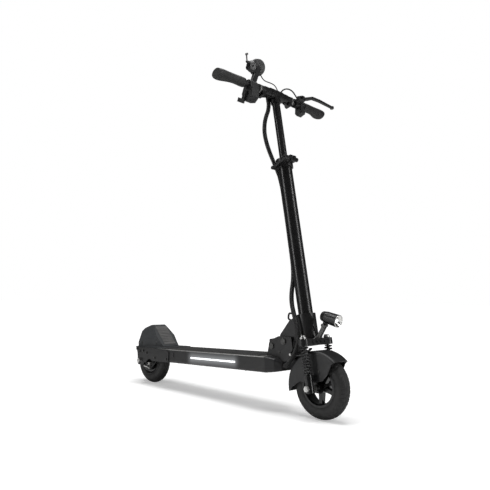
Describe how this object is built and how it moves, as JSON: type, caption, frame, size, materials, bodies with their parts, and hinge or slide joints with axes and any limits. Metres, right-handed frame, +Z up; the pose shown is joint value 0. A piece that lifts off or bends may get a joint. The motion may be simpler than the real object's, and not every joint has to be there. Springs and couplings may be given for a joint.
{
  "type": "electric kick scooter",
  "caption": "Folding electric kick scooter with sprung fork, height-adjustable stem, fold-down bars, lights, hub motor and drum brake.",
  "frame": {"origin": "on the floor, below the middle of the bounding box, midway between the axles", "axes": "+X forward, +Y to the rider's left, +Z up"},
  "size_m": [1.13, 0.55, 1.2267],
  "materials": {
    "black_metal": "satin black paint",
    "deck_metal": "satin black powder coat",
    "lid": "grey anodised",
    "mat": "matt ribbed rubber",
    "light": "lit white diffuser, emissive",
    "moulded": "matt black moulding",
    "fender": "matt dark grey moulding",
    "tread": "ribbed dark grey rubber",
    "red_lens": "red lens",
    "zinc": "bright zinc",
    "dark_bolt": "black oxide",
    "tyre": "tyre rubber",
    "rim": "gloss black",
    "spring": "black coated",
    "grip": "soft matt rubber",
    "lens": "clear lens over a bright reflector",
    "cable": "black sheath",
    "grey_metal": "grey anodised",
    "battery": "shrink-wrapped cells"
  },
  "bodies": {
    "deck": {"deck_frame": "deck_metal", "deck_lid": "lid", "grip_mat": "mat", "side_lights": "light", "power_pack": "battery", "nose_cap": "moulded", "nose_arms": "black_metal", "deck_bolts": "dark_bolt", "rear_plates": "black_metal", "rear_axle": "zinc", "brake_plate": "black_metal", "adjuster": "zinc", "rear_brake_cable": "cable", "rear_fender": "fender", "fender_tread": "tread", "tail_light": "red_lens", "stand_bracket": "black_metal"},
    "charge_cap": {"charge_cap": "moulded"},
    "latch_pedal": {"latch_pedal": "moulded"},
    "stand_leg": {"stand_leg": "black_metal"},
    "brake_arm": {"brake_arm": "black_metal"},
    "rear_wheel": {"hub_motor": "rim", "rear_tyre": "tyre"},
    "neck": {"neck": "black_metal", "neck_hardware": "zinc"},
    "fork": {"outer_tube": "black_metal", "crown": "black_metal", "shock_rods": "zinc", "stem_clamp": "black_metal", "headlight_bracket": "dark_bolt", "lower_loom": "cable", "fork_springs": "spring"},
    "clamp_lever": {"clamp_lever": "black_metal"},
    "fork_lower": {"fork_legs": "black_metal", "front_axle": "zinc", "front_fender": "moulded"},
    "front_wheel": {"front_rim": "rim", "front_tyre": "tyre"},
    "headlight": {"headlight": "moulded", "headlight_lens": "lens"},
    "stem_top": {"inner_stem": "black_metal", "upper_loom": "cable"},
    "bar_right": {"bar_right": "black_metal", "grip_right": "grip", "throttle": "moulded", "display": "moulded", "bell": "moulded", "display_cable": "cable"},
    "bar_left": {"bar_left": "black_metal", "grip_left": "grip", "brake_perch": "black_metal", "switch_box": "moulded", "brake_cable": "cable"},
    "lock_sleeve_right": {"lock_sleeve_right": "grey_metal"},
    "lock_sleeve_left": {"lock_sleeve_left": "grey_metal"},
    "throttle_trigger": {"throttle_trigger": "moulded"},
    "display_button": {"display_button": "grey_metal"},
    "bell_lever": {"bell_lever": "dark_bolt"},
    "brake_lever": {"brake_lever": "black_metal"},
    "switch_button": {"switch_button": "tread"}
  },
  "joints": [
    {"name": "charge_cap_flap", "type": "hinge", "parent": "deck", "child": "charge_cap", "pos_m": [-0.23065, -0.0758, 0.13244], "axis": [0.9994, 0, 0.0349], "range_deg": [0, 100]},
    {"name": "latch_pedal_press", "type": "hinge", "parent": "deck", "child": "latch_pedal", "pos_m": [0.283, 0, 0.214], "axis": [0, -1, 0], "range_deg": [0, 12], "stiffness_Nm_per_rad": 2, "springref_deg": -11.46},
    {"name": "kickstand", "type": "hinge", "parent": "deck", "child": "stand_leg", "pos_m": [0.07127, 0.058, 0.11147], "axis": [0, -1, 0], "range_deg": [0, 75]},
    {"name": "rear_brake_arm", "type": "hinge", "parent": "deck", "child": "brake_arm", "pos_m": [-0.493, -0.036, 0.12], "axis": [0, -1, 0], "range_deg": [0, 8], "stiffness_Nm_per_rad": 1, "springref_deg": -5.73},
    {"name": "rear_wheel_spin", "type": "hinge", "parent": "deck", "child": "rear_wheel", "pos_m": [-0.465, 0, 0.1], "axis": [0, 1, 0], "continuous": true},
    {"name": "stem_fold", "type": "hinge", "parent": "deck", "child": "neck", "pos_m": [0.336, 0, 0.232], "axis": [0, -1, 0], "range_deg": [0, 77], "deforming": ["lower_loom"]},
    {"name": "steering", "type": "hinge", "parent": "neck", "child": "fork", "pos_m": [0.40678, 0, 0.28245], "axis": [-0.1822, 0, 0.9833], "range_deg": [-45, 45], "deforming": ["lower_loom"]},
    {"name": "clamp_lever_throw", "type": "hinge", "parent": "fork", "child": "clamp_lever", "pos_m": [0.33757, -0.02, 0.85339], "axis": [0, 1, 0], "range_deg": [0, 110]},
    {"name": "fork_travel", "type": "slide", "parent": "fork", "child": "fork_lower", "axis": [-0.1822, 0, 0.9833], "range_m": [0, 0.014], "stiffness_N_per_m": 30000, "springref_m": -0.005, "deforming": ["fork_springs"]},
    {"name": "front_wheel_spin", "type": "hinge", "parent": "fork_lower", "child": "front_wheel", "pos_m": [0.465, 0, 0.1], "axis": [0, 1, 0], "continuous": true},
    {"name": "headlight_tilt", "type": "hinge", "parent": "fork", "child": "headlight", "pos_m": [0.477, 0, 0.29], "axis": [0, 1, 0], "range_deg": [-20, 30]},
    {"name": "stem_height", "type": "slide", "parent": "fork", "child": "stem_top", "axis": [0.1822, 0, -0.9833], "range_m": [0, 0.14], "deforming": ["upper_loom"]},
    {"name": "bar_right_fold", "type": "hinge", "parent": "stem_top", "child": "bar_right", "pos_m": [0.25807, -0.07, 1.08478], "axis": [0.9833, 0, 0.1822], "range_deg": [0, 90], "deforming": ["display_cable"]},
    {"name": "bar_left_fold", "type": "hinge", "parent": "stem_top", "child": "bar_left", "pos_m": [0.25807, 0.07, 1.08478], "axis": [-0.9833, 0, -0.1822], "range_deg": [0, 90], "deforming": ["brake_cable"]},
    {"name": "lock_sleeve_right_slide", "type": "slide", "parent": "bar_right", "child": "lock_sleeve_right", "axis": [0, -1, 0], "range_m": [0, 0.005]},
    {"name": "lock_sleeve_left_slide", "type": "slide", "parent": "bar_left", "child": "lock_sleeve_left", "axis": [0, 1, 0], "range_m": [0, 0.005]},
    {"name": "throttle", "type": "hinge", "parent": "bar_right", "child": "throttle_trigger", "pos_m": [0.24791, -0.143, 1.07374], "axis": [0, -1, 0], "range_deg": [0, 25], "stiffness_Nm_per_rad": 0.15, "springref_deg": -8.59},
    {"name": "display_button_press", "type": "slide", "parent": "bar_right", "child": "display_button", "axis": [0.8833, -0.226, -0.4108], "range_m": [0, 0.0012], "stiffness_N_per_m": 600, "springref_m": -0.001},
    {"name": "bell_lever_flick", "type": "hinge", "parent": "bar_right", "child": "bell_lever", "pos_m": [0.25543, -0.13919, 1.18564], "axis": [0.9567, -0.2057, -0.2057], "range_deg": [0, 18], "stiffness_Nm_per_rad": 0.08, "springref_deg": -5.73},
    {"name": "brake_lever_pull", "type": "hinge", "parent": "bar_left", "child": "brake_lever", "pos_m": [0.29179, 0.112, 1.11137], "axis": [-0.1822, 0, 0.9833], "range_deg": [0, 12], "stiffness_Nm_per_rad": 1.5, "springref_deg": -5.73},
    {"name": "switch_button_press", "type": "slide", "parent": "bar_left", "child": "switch_button", "axis": [0.9994, 0, -0.0333], "range_m": [0, 0.0012], "stiffness_N_per_m": 600, "springref_m": -0.001}
  ],
  "couplings": [
    {"joint": "rear_brake_arm", "follows": "brake_lever_pull", "ratio": 0.6}
  ]
}
